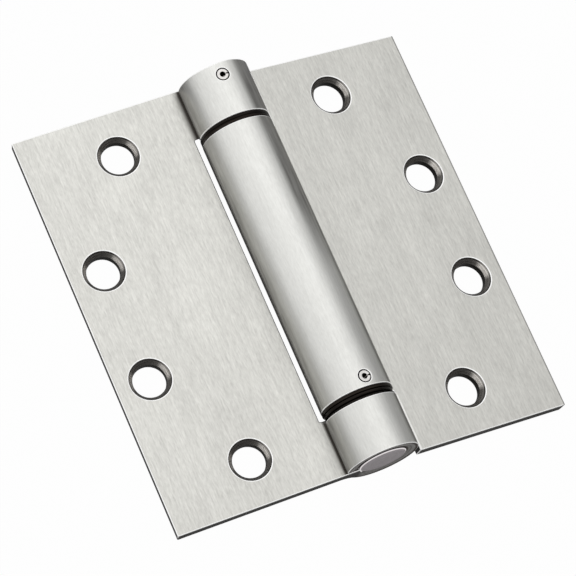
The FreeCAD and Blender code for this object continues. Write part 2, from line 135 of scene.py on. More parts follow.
def rounded(corners, radii):
    """A closed outline whose corners are parabolas that start and end a radius from each corner."""
    p = np.asarray(corners, float)
    back, ahead = np.roll(p, 1, 0) - p, np.roll(p, -1, 0) - p
    radii = np.broadcast_to(np.asarray(radii, float), len(p))[:, None]
    start = p + radii * back / np.linalg.norm(back, axis=1, keepdims=True)
    end = p + radii * ahead / np.linalg.norm(ahead, axis=1, keepdims=True)
    t = np.linspace(0, 1, CORNER_LINES + 1)[None, :, None]
    arcs = (1 - t) ** 2 * start[:, None] + 2 * t * (1 - t) * p[:, None] + t ** 2 * end[:, None]
    return arcs.reshape(-1, 2)


def tube_faces(rings, corners):
    """Faces of a closed section of corners carried through rings, then its two end caps."""
    first = np.arange(corners)
    last = first + (rings - 1) * corners
    return list(grid_faces(rings, corners, False, True)) + [first.tolist(), last[::-1].tolist()]


def turned_piece(name, outline, side, materials, segments=128, closed=True):
    """An outline of (radius, place) turned about the barrel axis, as (r cos a, place, r sin a).

    The field turned holds (cos a, sin a, distance along the outline), for tool marks.
    """
    outline = np.asarray(outline, float)
    angle = np.linspace(0, 2 * np.pi, segments, endpoint=False)[:, None]
    radius, place = outline[None, :, 0], outline[None, :, 1]
    points = np.stack([radius * np.cos(angle), place + 0 * angle, radius * np.sin(angle)], -1)
    steps = np.linalg.norm(np.diff(outline, axis=0, prepend=outline[:1]), axis=1)
    along = np.cumsum(steps)[None] + 0 * angle
    marks = np.stack([np.cos(angle) + 0 * along, np.sin(angle) + 0 * along, along], -1)
    faces = grid_faces(segments, len(outline), True, closed)
    return make_piece(name, laid(points.reshape(-1, 3), side), faces, materials,
                      fields={"turned": marks.reshape(-1, 3)})


# A leaf: its flat pattern, the sheet's two faces, and the rolled surface

BEND_END = BARREL + BEND_REACH
BEND = (BEND_END ** 2 - BARREL ** 2 + BACK ** 2) / (2 * (BARREL + BACK))
BEND_TURN = np.arctan2(BEND_END, BEND - BACK)
ROLL_FROM = np.degrees(np.arctan2(BACK - BEND, BEND_END))
ROLL_TO = -360 + np.degrees(np.arcsin((FACE + SEAM) / BARREL))
BORE_FROM = np.degrees(np.arcsin(FACE / BORE))
BORE_TO = -360 + np.degrees(np.arcsin((FACE + SEAM) / BORE))
FLAT = WIDTH - BEND_END
TANGENT = FLAT + BEND * BEND_TURN
PATTERN_END = TANGENT + BARREL * np.radians(ROLL_FROM - ROLL_TO)
PIN_PATTERN = TANGENT + BARREL * np.radians(ROLL_FROM + 270)
SLOT_ROOT = TANGENT + 4
BORE_X = np.sqrt(BORE ** 2 - FACE ** 2)

# The frame leaf's small cuts: the notch's raised back, and the knuckles' ends and how far in they reach
BACK_RISE, END_CUT, END_REACH = 1.9, 0.5, 1.45


def trimmed(s, y, depth):
    """The frame leaf's place along the barrel, with three small cuts; depth is 0 in the bore.

    The back of the notch's upper end moves up the barrel under the bend. The top knuckle's end
    is short of the leaf, past the lock pin by END_CUT and before it by 0.4 of that. The bottom
    knuckle's end is sunk by END_CUT at the bore.
    """
    fading = np.clip(1 - (y - TOP_LOW) / 4, 0, 1) * (y > TOP_LOW - 0.1)
    under_bend = np.clip(1 - (s - TANGENT - 3) / 8, 0, 1) * (s > pattern_at(FRAME_NOTCH) - 2)
    on_roll = np.clip((s - TANGENT - 3) / 6, 0, 1)
    top = np.clip((y - HALF_LENGTH + END_REACH) / END_REACH, 0, 1)
    top = top * (0.4 + 0.6 * np.clip((s - PIN_PATTERN + 3) / 6, 0, 1))
    bottom = np.clip((-HALF_LENGTH + END_REACH - y) / END_REACH, 0, 1)
    return y + BACK_RISE * depth * fading * under_bend + END_CUT * on_roll * (bottom * (1 - depth) - top)


def sheet_point(s, y, depth, side):
    """Where the sheet's point lies: s is the pattern's length from the leaf's outer edge, and
    depth runs from 0 on the countersunk face and the bore to 1 on the back and the barrel.

    The back is flat, then an arc tangent to it, then the barrel's circle. The face is flat as
    far as the bore's circle. A point between is on the straight line from one to the other.
    The leaf's outer edge slants in by SHEAR towards the back.
    """
    bend = np.clip((s - FLAT) / (TANGENT - FLAT), 0, 1)
    roll = np.clip((s - TANGENT) / (PATTERN_END - TANGENT), 0, 1)
    turn = np.pi / 2 + bend * BEND_TURN
    outer = np.radians(ROLL_FROM + roll * (ROLL_TO - ROLL_FROM))
    inner = np.radians(BORE_FROM + roll * (BORE_TO - BORE_FROM))
    flat_x = WIDTH - np.minimum(s, FLAT)
    back_x = np.where(s <= TANGENT, flat_x + BEND * np.cos(turn), BARREL * np.cos(outer))
    back_z = np.where(s <= TANGENT, BACK - BEND + BEND * np.sin(turn), BARREL * np.sin(outer))
    face_x = np.where(s <= TANGENT, flat_x + bend * (BORE_X - BEND_END), BORE * np.cos(inner))
    face_z = np.where(s <= TANGENT, FACE, BORE * np.sin(inner))
    x = face_x + depth * (back_x - face_x - SHEAR * np.clip(1 - s / 4, 0, 1))
    z = face_z + depth * (back_z - face_z)
    if side == FRAME_SIDE:
        y = trimmed(s, y, depth)
    return np.stack([side * x, y + 0 * x, z], -1)


def pattern_at(x):
    """The pattern's length where the leaf's face is at x from the barrel axis."""
    return FLAT + (BEND_END - x) * ((TANGENT - FLAT) / (BEND_END - BORE_X) if x < BEND_END else 1)


def window_lines(centre, half, cells):
    """Grid lines across a hole's window, at the tangents of equal angles round the hole."""
    return centre + half * np.tan(np.linspace(-np.pi / 4, np.pi / 4, cells + 1))


def hole_profile(seat, land, sink, rim, lip, back):
    """A hole's section from the face to the back, as (radius, depth) with its corners rounded.

    The cone runs from the seat's radius at the face to the land's at the sink. Rim, lip and back
    are how far from its corner each rounding starts. Also gives the finish of each ring.
    """
    corners = [(seat + 1, 0), (seat, 0), (land, sink), (land, THICK), (land + 1, THICK),
               (seat + 9, THICK + 9)]
    radii = [0, rim, lip, back, 0, 0]
    if sink == 0:
        del corners[2], radii[2]
    line = rounded(corners, radii).reshape(len(corners), CORNER_LINES + 1, 2)[1:-2].reshape(-1, 2)
    finish = np.full(len(line) - 1, SEAT_SLOT)
    finish[:CORNER_LINES] = finish[-CORNER_LINES:] = EDGE_SLOT
    return line, finish


# Each kind of hole: its window's half sizes along s and y, cells across it, profile and finish
SCREW_HOLE = (7.0, 7.0, 16, *hole_profile(SEAT, LAND, SINK, 0.15, 0.15, 0.15))
PIN_WINDOW = (3.4, 2.3, 12, *hole_profile(PIN_HOLE, PIN_HOLE, 0.0, 0.15, 0.0, 0.2))


def rolled_leaf(name, side, notches, slot, pin_y, materials):
    """One sheet with its holes and notches, on a grid of the flat pattern (s along, y across).

    Cells inside a notch, a slot or a hole's window are left out. In a window, rings of points run
    from its square border to the hole's circle, and on down its wall.
    """
    notch_s = pattern_at(FRAME_NOTCH if slot else DOOR_NOTCH)
    holes = [(WIDTH - x, y, *SCREW_HOLE) for x, y in SCREWS]
    holes.append((PIN_PATTERN, pin_y, *PIN_WINDOW))
    corners = [v for pair in (slot or notches) for v in pair if abs(v) < HALF_LENGTH]
    keep_s, keep_y = {0, notch_s, TANGENT, PATTERN_END}, {-HALF_LENGTH, HALF_LENGTH}
    keep_s |= {notch_s - NOTCH_ROUND, notch_s + NOTCH_ROUND}
    keep_y |= {v for pair in notches for v in pair if abs(v) < HALF_LENGTH}
    keep_y |= {v + e for v in corners for e in (-NOTCH_ROUND, 0, NOTCH_ROUND)}
    if slot:
        keep_s.add(SLOT_ROOT)
    for s0, y0, half_s, half_y, *_ in holes:
        keep_s |= {s0 - half_s, s0 + half_s}
        keep_y |= {y0 - half_y, y0 + half_y}
    s_line = spaced_lines([np.linspace(1.5, FLAT, 12), np.linspace(FLAT, TANGENT, 8),
                           np.linspace(TANGENT, PATTERN_END, 113)]
                          + [window_lines(s0, half, cells) for s0, _, half, _, cells, *_ in holes], keep_s)
    y_line = spaced_lines([np.linspace(-56, 56, 29)]
                          + [window_lines(y0, half, cells) for _, y0, _, half, cells, *_ in holes], keep_y)
    rows, columns = len(s_line), len(y_line)

    # Which cells are metal, and which of those a hole's window takes out
    mid_s = (s_line[1:] + s_line[:-1])[:, None] / 2
    mid_y = (y_line[1:] + y_line[:-1])[None] / 2
    metal = np.ones((rows - 1, columns - 1), bool)
    for low, high in notches:
        metal &= ~((mid_s > (SLOT_ROOT if slot else notch_s)) & (mid_y > low) & (mid_y < high))
    for low, high in slot or []:
        metal &= ~((mid_s > notch_s) & (mid_s < SLOT_ROOT) & (mid_y > low) & (mid_y < high))
    grid = metal.copy()
    for s0, y0, half_s, half_y, *_ in holes:
        grid &= ~((abs(mid_s - s0) < half_s) & (abs(mid_y - y0) < half_y))

    s, y = np.meshgrid(s_line, y_line, indexing="ij")
    for low, high in slot or notches:
        for end, way in ((low, 1), (high, -1)):
            if abs(end) < HALF_LENGTH:
                s, y = round_corner(s, y, notch_s, end, way)

    # Both faces of the sheet, the walls round its outline, then each hole
    number = np.arange(rows * columns).reshape(rows, columns)
    cell = np.stack([number[:-1, :-1], number[:-1, 1:], number[1:, 1:], number[1:, :-1]], -1)
    face_quads = cell[grid]
    padded = np.pad(metal, 1)
    across = padded[:-1, 1:-1] != padded[1:, 1:-1]
    along = padded[1:-1, :-1] != padded[1:-1, 1:]
    a = np.concatenate([number[:, :-1][across], number[:-1][along]])
    b = np.concatenate([number[:, 1:][across], number[1:][along]])
    total = rows * columns
    wall_quads = np.stack([a, b, b + total, a + total], -1)
    flat_s, flat_y = s.ravel(), y.ravel()
    blocks, marks, sheet = [], [np.zeros((2 * total, 3))], []
    for depth in (0.0, 1.0):
        blocks.append(sheet_point(flat_s, flat_y, depth, side))
        sheet.append(np.stack([flat_s, flat_y, np.full(total, depth * THICK)], -1))
    quads = [face_quads, face_quads + total, wall_quads]
    kinds = [np.full(2 * len(face_quads), PLATE_SLOT), np.full(len(wall_quads), WALL_SLOT)]
    start = 2 * total
    for hole in holes:
        block, mark, place, faces, kind = hole_surfaces(s_line, y_line, hole, side)
        blocks.append(block)
        marks.append(mark)
        sheet.append(place)
        quads.append(faces + start)
        kinds.append(kind)
        start += len(block)
    points, quads, kinds = np.concatenate(blocks), np.concatenate(quads), np.concatenate(kinds)
    used, index = np.unique(quads, return_inverse=True)
    fields = {"turned": np.concatenate(marks)[used], "sheet": np.concatenate(sheet)[used]}
    return make_piece(name, laid(points[used], side), index.reshape(quads.shape), materials, kinds,
                      fields, bevel=EDGE_ROUND, bevel_slot=EDGE_SLOT)


def spaced_lines(lines, keep):
    """Sorted grid lines: all that are kept, and the others that aren't too near to one before."""
    near_kept, near_other = 0.36, 0.25
    fixed = np.array(sorted(keep))
    values = np.unique(np.round(np.concatenate(lines), 4))
    values = values[(np.abs(values[:, None] - fixed[None]).min(1) > near_kept) & (values > fixed[0])]
    values = values[np.concatenate([[True], np.diff(values) > near_other])]
    return np.sort(np.concatenate([fixed, values[values < fixed[-1]]]))


def round_corner(s, y, s0, y0, way):
    """Moves grid points so that a notch's inside corner follows a quarter circle.

    Way is 1 where the notch lies above y0. A boundary point at distance d from the corner moves
    to the circle's point at angle (1 - d / r) * 45 degrees, and the metal behind follows less
    and less over two radii.
    """
    r = NOTCH_ROUND
    a, b = s - s0, way * (y - y0)
    near_a, near_b = np.clip(a, 0, r), np.clip(b, 0, r)
    fade = np.clip(1 + np.minimum(a, 0) / (2 * r), 0, 1) * np.clip(1 + np.minimum(b, 0) / (2 * r), 0, 1)
    along_a, along_b = (1 - near_a / r) * np.pi / 4, (1 - near_b / r) * np.pi / 4
    on_a_side = (a >= b)
    move_a = np.where(on_a_side, r - r * np.sin(along_a) - near_a, r - r * np.cos(along_b))
    move_b = np.where(on_a_side, r - r * np.cos(along_a), r - r * np.sin(along_b) - near_b)
    reach = ((a <= r) & (b <= r)).astype(float) * fade
    return s + move_a * reach, y + way * move_b * reach


def hole_surfaces(s_line, y_line, hole, side):
    """Rings from a window's border in to the hole on both faces, and its profile between them.

    A ring of a face at share t is border + (circle - border) * t. In the roll, a point x across
    the drill's axis is at the arc asin(x / radius) round the barrel, so that the hole is straight.
    """
    s0, y0, half_s, half_y, _, profile, finish = hole
    i = np.flatnonzero(np.abs(s_line - s0) <= half_s + 1e-6)
    j = np.flatnonzero(np.abs(y_line - y0) <= half_y + 1e-6)
    rim_s = np.concatenate([s_line[i], np.full(len(j) - 1, s_line[i[-1]]), s_line[i][::-1][1:],
                            np.full(len(j) - 2, s_line[i[0]])])
    rim_y = np.concatenate([np.full(len(i), y_line[j[0]]), y_line[j][1:],
                            np.full(len(i) - 1, y_line[j[-1]]), y_line[j][::-1][1:-1]])
    angle = np.arctan2(rim_y - y0, rim_s - s0)
    shares = np.array([0, 0.5])[:, None]
    radius, depth = profile[:, :1], profile[:, 1:]
    wall_s, wall_y = radius * np.cos(angle), y0 + radius * np.sin(angle)
    if s0 > TANGENT:
        wall_s = BARREL * np.arcsin(wall_s / (BORE + depth))
    wall_s = wall_s + s0
    face_s = [rim_s + shares * (wall_s[k] - rim_s) for k in (0, -1)]
    face_y = [rim_y + shares * (wall_y[k] - rim_y) for k in (0, -1)]
    s = np.concatenate([face_s[0], wall_s, face_s[1][::-1]])
    y = np.concatenate([face_y[0], wall_y, face_y[1][::-1]])
    deep = np.concatenate([np.zeros((2, 1)), depth, np.full((2, 1), THICK)]) + 0 * s
    points = sheet_point(s, y, deep / THICK, side).reshape(-1, 3)
    marks = np.stack([np.cos(angle) + 0 * s, np.sin(angle) + 0 * s, deep - np.hypot(s - s0, y - y0)], -1)
    place = np.stack([s, y, deep], -1)
    faces = grid_faces(len(s), len(angle), False, True)
    kind = np.repeat(np.concatenate([[PLATE_SLOT] * 2, finish, [PLATE_SLOT] * 2]), len(angle))
    return points, marks.reshape(-1, 3), place.reshape(-1, 3), faces, kind


# Shader node groups

def new_group(name, inputs, outputs):
    """A shader group with named sockets; returns it with its input and output nodes."""
    group = bpy.data.node_groups.new(name, "ShaderNodeTree")
    for label, kind, value in inputs:
        socket = group.interface.new_socket(label, in_out="INPUT", socket_type=kind)
        if value is not None:
            socket.default_value = value
    for label, kind in outputs:
        group.interface.new_socket(label, in_out="OUTPUT", socket_type=kind)
    return group, group.nodes.new("NodeGroupInput"), group.nodes.new("NodeGroupOutput")


def feed(tree, value, socket):
    """Links a socket to another, or sets a plain value there."""
    if isinstance(value, bpy.types.NodeSocket):
        tree.links.new(value, socket)
    else:
        socket.default_value = value


def maths(tree, operation, first, *values):
    """The result of Math nodes in a row; each takes the last one's result and the next value.

    A value is a number or a socket.
    """
    for value in values or (0.0,):
        node = tree.nodes.new("ShaderNodeMath")
        node.operation = operation
        feed(tree, first, node.inputs[0])
        feed(tree, value, node.inputs[1])
        first = node.outputs[0]
    return first


def parts_of(tree, vector):
    """A vector's X, Y and Z, as separate numbers."""
    node = tree.nodes.new("ShaderNodeSeparateXYZ")
    tree.links.new(vector, node.inputs[0])
    return node.outputs


def ranged(tree, value, low, high, to_low, to_high):
    """Maps a value from one range to another, held at both ends."""
    node = tree.nodes.new("ShaderNodeMapRange")
    tree.links.new(value, node.inputs["Value"])
    for label, number in (("From Min", low), ("From Max", high), ("To Min", to_low), ("To Max", to_high)):
        feed(tree, number, node.inputs[label])
    return node.outputs["Result"]


def noise(tree, vector, scale, detail, rough):
    """A 3D noise of a vector."""
    node = tree.nodes.new("ShaderNodeTexNoise")
    tree.links.new(vector, node.inputs["Vector"])
    node.inputs["Scale"].default_value = scale
    node.inputs["Detail"].default_value = detail
    node.inputs["Roughness"].default_value = rough
    return node.outputs["Fac"]


def stretched(tree, vector, across, along):
    """A vector times (across, along, across), for grain that runs along the barrel."""
    scale = tree.nodes.new("ShaderNodeCombineXYZ")
    for socket, value in zip(scale.inputs, (across, along, across)):
        feed(tree, value, socket)
    product = tree.nodes.new("ShaderNodeVectorMath")
    product.operation = "MULTIPLY"
    tree.links.new(vector, product.inputs[0])
    tree.links.new(scale.outputs[0], product.inputs[1])
    return product.outputs[0]


def mixed_colour(tree, share, low, high):
    """A colour between two, by a share from 0 to 1; each is (red, green, blue) or a socket."""
    node = tree.nodes.new("ShaderNodeMix")
    node.data_type = "RGBA"
    tree.links.new(share, node.inputs["Factor"])
    for colour, socket in ((low, node.inputs[6]), (high, node.inputs[7])):
        feed(tree, (*colour, 1) if isinstance(colour, tuple) else colour, socket)
    return node.outputs[2]


def brushed_group():
    """Grain of a belt-ground plate, each from 0 to 1: short dashes, longer scratches, soft clouds."""
    group, given, out = new_group("brushed grain", [
        ("Vector", "NodeSocketVector", None),
        ("Lines Across", "NodeSocketFloat", 2900.0),
        ("Lines Along", "NodeSocketFloat", 600.0),
        ("Cloud Across", "NodeSocketFloat", 90.0),
        ("Cloud Along", "NodeSocketFloat", 35.0),
    ], [("Lines", "NodeSocketFloat"), ("Scratches", "NodeSocketFloat"), ("Clouds", "NodeSocketFloat")])
    vector = given.outputs["Vector"]
    across, along = given.outputs["Lines Across"], given.outputs["Lines Along"]
    lines = noise(group, stretched(group, vector, across, along), 1.0, 3.0, 0.6)
    thin = maths(group, "MULTIPLY", across, 0.55)
    long = maths(group, "MULTIPLY", along, 0.22)
    scratch = noise(group, stretched(group, vector, thin, long), 1.0, 1.5, 0.5)
    clouds = noise(group, stretched(group, vector, given.outputs["Cloud Across"],
                                    given.outputs["Cloud Along"]), 1.0, 3.0, 0.55)
    group.links.new(ranged(group, lines, 0.28, 0.72, 0.0, 1.0), out.inputs["Lines"])
    group.links.new(ranged(group, scratch, 0.3, 0.7, 0.0, 1.0), out.inputs["Scratches"])
    group.links.new(ranged(group, clouds, 0.3, 0.7, 0.0, 1.0), out.inputs["Clouds"])
    return group


def tooled_group():
    """Marks of a turning tool from a (cos, sin, distance) vector: rings of uneven depth, 0 to 1."""
    group, given, out = new_group("tool marks", [
        ("Vector", "NodeSocketVector", None),
        ("Rings", "NodeSocketFloat", 6.0),
        ("Chatter", "NodeSocketFloat", 3.0),
    ], [("Marks", "NodeSocketFloat"), ("Tone", "NodeSocketFloat")])
    scale = group.nodes.new("ShaderNodeCombineXYZ")
    for socket, source in zip(scale.inputs, ("Chatter", "Chatter", "Rings")):
        group.links.new(given.outputs[source], socket)
    product = group.nodes.new("ShaderNodeVectorMath")
    product.operation = "MULTIPLY"
    group.links.new(given.outputs["Vector"], product.inputs[0])
    group.links.new(scale.outputs[0], product.inputs[1])
    marks = noise(group, product.outputs[0], 1.0, 2.0, 0.6)
    slow = group.nodes.new("ShaderNodeVectorMath")
    slow.operation = "SCALE"
    group.links.new(product.outputs[0], slow.inputs[0])
    slow.inputs["Scale"].default_value = 0.25
    tone = noise(group, slow.outputs[0], 1.0, 2.0, 0.5)
    group.links.new(ranged(group, marks, 0.3, 0.7, 0.0, 1.0), out.inputs["Marks"])
    group.links.new(ranged(group, tone, 0.3, 0.7, 0.0, 1.0), out.inputs["Tone"])
    return group


def tinted_group():
    """A colour between two by a tone, then darkened towards a second colour by a mask, which holds painted
    shade as well as real marks.
    """
    group, given, out = new_group("tint darkened by shade and dirt", [
        ("Tone", "NodeSocketFloat", 0.5),
        ("Low", "NodeSocketColor", (0.5, 0.5, 0.5, 1)),
        ("High", "NodeSocketColor", (0.8, 0.8, 0.8, 1)),
        ("Shade And Dirt", "NodeSocketFloat", 0.0),
        ("Shade And Grime", "NodeSocketColor", (0.05, 0.035, 0.025, 1)),
    ], [("Color", "NodeSocketColor")])
    metal = mixed_colour(group, given.outputs["Tone"], given.outputs["Low"], given.outputs["High"])
    darkened = mixed_colour(group, given.outputs["Shade And Dirt"], metal, given.outputs["Shade And Grime"])
    group.links.new(darkened, out.inputs["Color"])
    return group


BRUSHED = brushed_group()
TOOLED = tooled_group()
TINTED = tinted_group()


# Materials

# What masks darken the steel with: oil and painted shade on the cut edges, brown painted shade beside the
# barrel and in the seam, black painted shade in the holes, cracks and under the edges
OIL_AND_SHADE, SHADE_BROWN, SHADE_BLACK = (0.05, 0.035, 0.025), (0.036, 0.028, 0.021), (0.012, 0.010, 0.008)

# Painted shade round the barrel, beside the leaves: in degrees from straight up towards +X, where each
# band starts, is full, holds and ends, and how strong it is
SHADE_BANDS = {
    "left": (-145.0, -115.0, -82.0, -58.0, 0.70),
    "left_foot": (-125.0, -104.0, -92.0, -72.0, 0.60),
    "slot_edge": (-118.0, -102.0, -97.0, -92.0, 0.97),
    "right": (39.0, 52.0, 95.0, 125.0, 0.66),
    "right_top": (17.0, 27.0, 42.0, 54.0, 0.68),
    "crease": (44.0, 50.0, 55.0, 61.0, 0.86),
}


def new_material(name):
    """A metal with its tree and its Principled shader."""
    material = bpy.data.materials.new(name)
    material.use_nodes = True
    tree = material.node_tree
    shader = tree.nodes["Principled BSDF"]
    shader.inputs["Metallic"].default_value = 1.0
    return material, tree, shader


def use_group(tree, group, vector, **values):
    """Places a group in a material, with its vector linked and its other inputs set."""
    node = tree.nodes.new("ShaderNodeGroup")
    node.node_tree = group
    tree.links.new(vector, node.inputs["Vector"])
    for label, value in values.items():
        node.inputs[label.replace("_", " ")].default_value = value
    return node


def object_place(tree):
    """The Object coordinates of a piece."""
    return tree.nodes.new("ShaderNodeTexCoord").outputs["Object"]


def field(tree, name):
    """A piece's own vector field: turned, or a leaf's sheet, which is (s, y, depth) in its pattern."""
    node = tree.nodes.new("ShaderNodeAttribute")
    node.attribute_name = name
    return node.outputs["Vector"]


def bumped(tree, shader, height, strength, distance):
    """Feeds a height to the shader's normal through a Bump node; distance is in metres."""
    node = tree.nodes.new("ShaderNodeBump")
    node.inputs["Strength"].default_value = strength
    node.inputs["Distance"].default_value = distance
    tree.links.new(height, node.inputs["Height"])
    tree.links.new(node.outputs["Normal"], shader.inputs["Normal"])


def tinted(tree, shader, tone, low, high):
    """Feeds Base Color from the tint group."""
    node = tree.nodes.new("ShaderNodeGroup")
    node.node_tree = TINTED
    tree.links.new(tone, node.inputs["Tone"])
    node.inputs["Low"].default_value = (*low, 1)
    node.inputs["High"].default_value = (*high, 1)
    tree.links.new(node.outputs["Color"], shader.inputs["Base Color"])
    return node


def two_toned(tree, tint, share, near, far):
    """Gives a tint the colours of the pair near, and those of the pair far where the share is 1."""
    for label, here, there in zip(("Low", "High"), near, far):
        tree.links.new(mixed_colour(tree, share, here, there), tint.inputs[label])


def darken_by_shade_and_dirt(tree, shader, tint, shade_and_grime, *masks):
    """Darkens a tint by the largest of some masks, most of them painted shade and a few real tool marks; the
    shine of metal goes where that is nearly 1.
    """
    shade_and_dirt = maths(tree, "MAXIMUM", 0.0, *masks)
    tree.links.new(shade_and_dirt, tint.inputs["Shade And Dirt"])
    tint.inputs["Shade And Grime"].default_value = (*shade_and_grime, 1)
    metal = shader.inputs["Metallic"].default_value
    tree.links.new(ranged(tree, shade_and_dirt, 0.76, 0.95, metal, 0.0), shader.inputs["Metallic"])
    shader.inputs["Specular IOR Level"].default_value = 0.12


def paint_glow(tree, shader, colour, strength):
    """Feeds Emission Color: a painted highlight that makes rubbed edges and rims glow."""
    tree.links.new(colour, shader.inputs["Emission Color"])
    shader.inputs["Emission Strength"].default_value = strength


def satin_steel(name, low, high, rough_low, rough_high, bump, **grain):
    """Brushed steel: dashes, scratches and clouds tint it between two colours and bump it.

    Returns the material, its tree, its shader and its tint group.
    """
    material, tree, shader = new_material(name)
    brushed = use_group(tree, BRUSHED, object_place(tree), **grain)
    tone = maths(tree, "ADD", *[maths(tree, "MULTIPLY", brushed.outputs[label], share)
                                for label, share in (("Lines", 0.45), ("Scratches", 0.3), ("Clouds", 0.25))])
    tint = tinted(tree, shader, tone, low, high)
    tree.links.new(ranged(tree, brushed.outputs["Lines"], 0.0, 1.0, rough_high, rough_low),
                   shader.inputs["Roughness"])
    bumped(tree, shader, maths(tree, "ADD", brushed.outputs["Lines"], brushed.outputs["Scratches"]), bump,
           0.00002)
    return material, tree, shader, tint


def turned_steel(name, low, high, rough, bump, **marks):
    """Steel cut by a turning tool: rings tint, roughen and bump it. Returns as satin_steel does."""
    material, tree, shader = new_material(name)
    tooled = use_group(tree, TOOLED, field(tree, "turned"), **marks)
    tone = maths(tree, "ADD", maths(tree, "MULTIPLY", tooled.outputs["Marks"], 0.5),
                 maths(tree, "MULTIPLY", tooled.outputs["Tone"], 0.5))
    tint = tinted(tree, shader, tone, low, high)
    tree.links.new(ranged(tree, tooled.outputs["Marks"], 0.0, 1.0, rough - 0.06, rough + 0.08),
                   shader.inputs["Roughness"])
    bumped(tree, shader, tooled.outputs["Marks"], bump, 0.00004)
    return material, tree, shader, tint


def smeared(tree):
    """Uneven streaks along the barrel, from 0.6 to 1, that break up a mask."""
    streaks = noise(tree, stretched(tree, object_place(tree), 700.0, 80.0), 1.0, 3.0, 0.6)
    return ranged(tree, streaks, 0.3, 0.7, 0.6, 1.0)


def window(tree, value, start, full, hold, end):
    """Rises from 0 to 1 between start and full, and falls back to 0 between hold and end."""
    return maths(tree, "MULTIPLY", ranged(tree, value, start, full, 0.0, 1.0),
                 ranged(tree, value, hold, end, 1.0, 0.0))


def on_door(tree):
    """1 on the door leaf's side of the barrel axis, and 0 on the other."""
    return ranged(tree, parts_of(tree, object_place(tree))["X"], 0.0, 0.001, 0.0, 1.0)


def barrel_side_shade(tree):
    """Painted shade down both sides of the barrel, beside the leaves, as the bands above say.

    There is more on the left at the bottom knuckle and on the right in the top half. Two bands a
    and b of one side join as a + b (1 - a).
    """
    x, y, z = parts_of(tree, object_place(tree))
    above = maths(tree, "SUBTRACT", z, BARREL / 1000)
    turn = maths(tree, "MULTIPLY", maths(tree, "ARCTAN2", x, above), 180 / np.pi)
    band = {name: maths(tree, "MULTIPLY", window(tree, turn, *ends), full)
            for name, (*ends, full) in SHADE_BANDS.items()}
    sides = []
    for main, extra, place in (("left", "left_foot", ranged(tree, y, -0.044, -0.041, 1.0, 0.0)),
                               ("right", "right_top", ranged(tree, y, -0.008, 0.014, 0.0, 1.0))):
        clean = maths(tree, "SUBTRACT", 1.0, band[main])
        sides.append(maths(tree, "ADD", band[main], maths(tree, "MULTIPLY", band[extra], place, clean)))
    return maths(tree, "MAXIMUM", *sides, band["slot_edge"], band["crease"])


def plate_steel():
    """The leaves' satin finish: paler on the barrel, with painted shade beside it and painted black shade in
    the seam.

    The door leaf has painted grey shade along its outer edge, and a painted highlight that glows beside the
    bottom knuckle.
    """
    leaf, barrel = ((0.565, 0.56, 0.53), (0.845, 0.84, 0.795)), ((0.74, 0.74, 0.71), (0.90, 0.90, 0.87))
    material, tree, shader, tint = satin_steel("satin plate", *leaf, 0.34, 0.46, 0.25)
    s, y, depth = parts_of(tree, field(tree, "sheet"))
    outside = maths(tree, "DIVIDE", depth, THICK)
    on_barrel = ranged(tree, s, pattern_at(BARREL), pattern_at(BARREL) + 3.0, 0.0, 1.0)
    two_toned(tree, tint, on_barrel, leaf, barrel)

    # Painted shade: black in the crease where the roll meets the leaf's face, and on the roll's end
    at_knuckle = ranged(tree, maths(tree, "ABSOLUTE", y), SLOT_HIGH - 1.5, SLOT_HIGH + 0.2, 0.0, 1.0)
    from_seam = maths(tree, "SUBTRACT", pattern_at(BARREL), s)
    crept = ranged(tree, from_seam, 0.2, ranged(tree, y, -46.0, 44.0, 1.1, 2.2), 1.0, 0.0)
    on_face = ranged(tree, outside, 0.0, 0.3, 0.95, 0.0)
    seam = maths(tree, "MULTIPLY", maths(tree, "POWER", crept, 2.0), on_face, at_knuckle)
    roll_end = ranged(tree, s, PATTERN_END - 1.3, PATTERN_END - 0.1, 0.0, 0.8)
    # Painted shade down the barrel's sides, broken up by streaks
    sides = maths(tree, "MULTIPLY", on_barrel, outside, smeared(tree), barrel_side_shade(tree))
    # Slightly darker towards the bottom
    low_end = ranged(tree, y, -40.0, 25.0, 0.06, 0.0)
    # Painted shade: grey along the door leaf's outer edge
    border = maths(tree, "MULTIPLY", ranged(tree, s, 0.3, 0.55, 0.62, 0.0), on_door(tree))
    darken_by_shade_and_dirt(tree, shader, tint, SHADE_BROWN, seam, roll_end, sides, low_end, border)

    # Painted highlight: the door notch's edge beside the bottom knuckle glows white
    notch_s = pattern_at(DOOR_NOTCH)
    painted_notch_highlight = maths(tree, "MULTIPLY", window(tree, s, notch_s - 0.62, notch_s - 0.5, notch_s, notch_s + 0.1),
                   ranged(tree, y, -41.5, -40.5, 0.55, 0.0), on_door(tree))
    paint_glow(tree, shader, mixed_colour(tree, painted_notch_highlight, (0, 0, 0), (1, 1, 1)), 0.45)
    return material


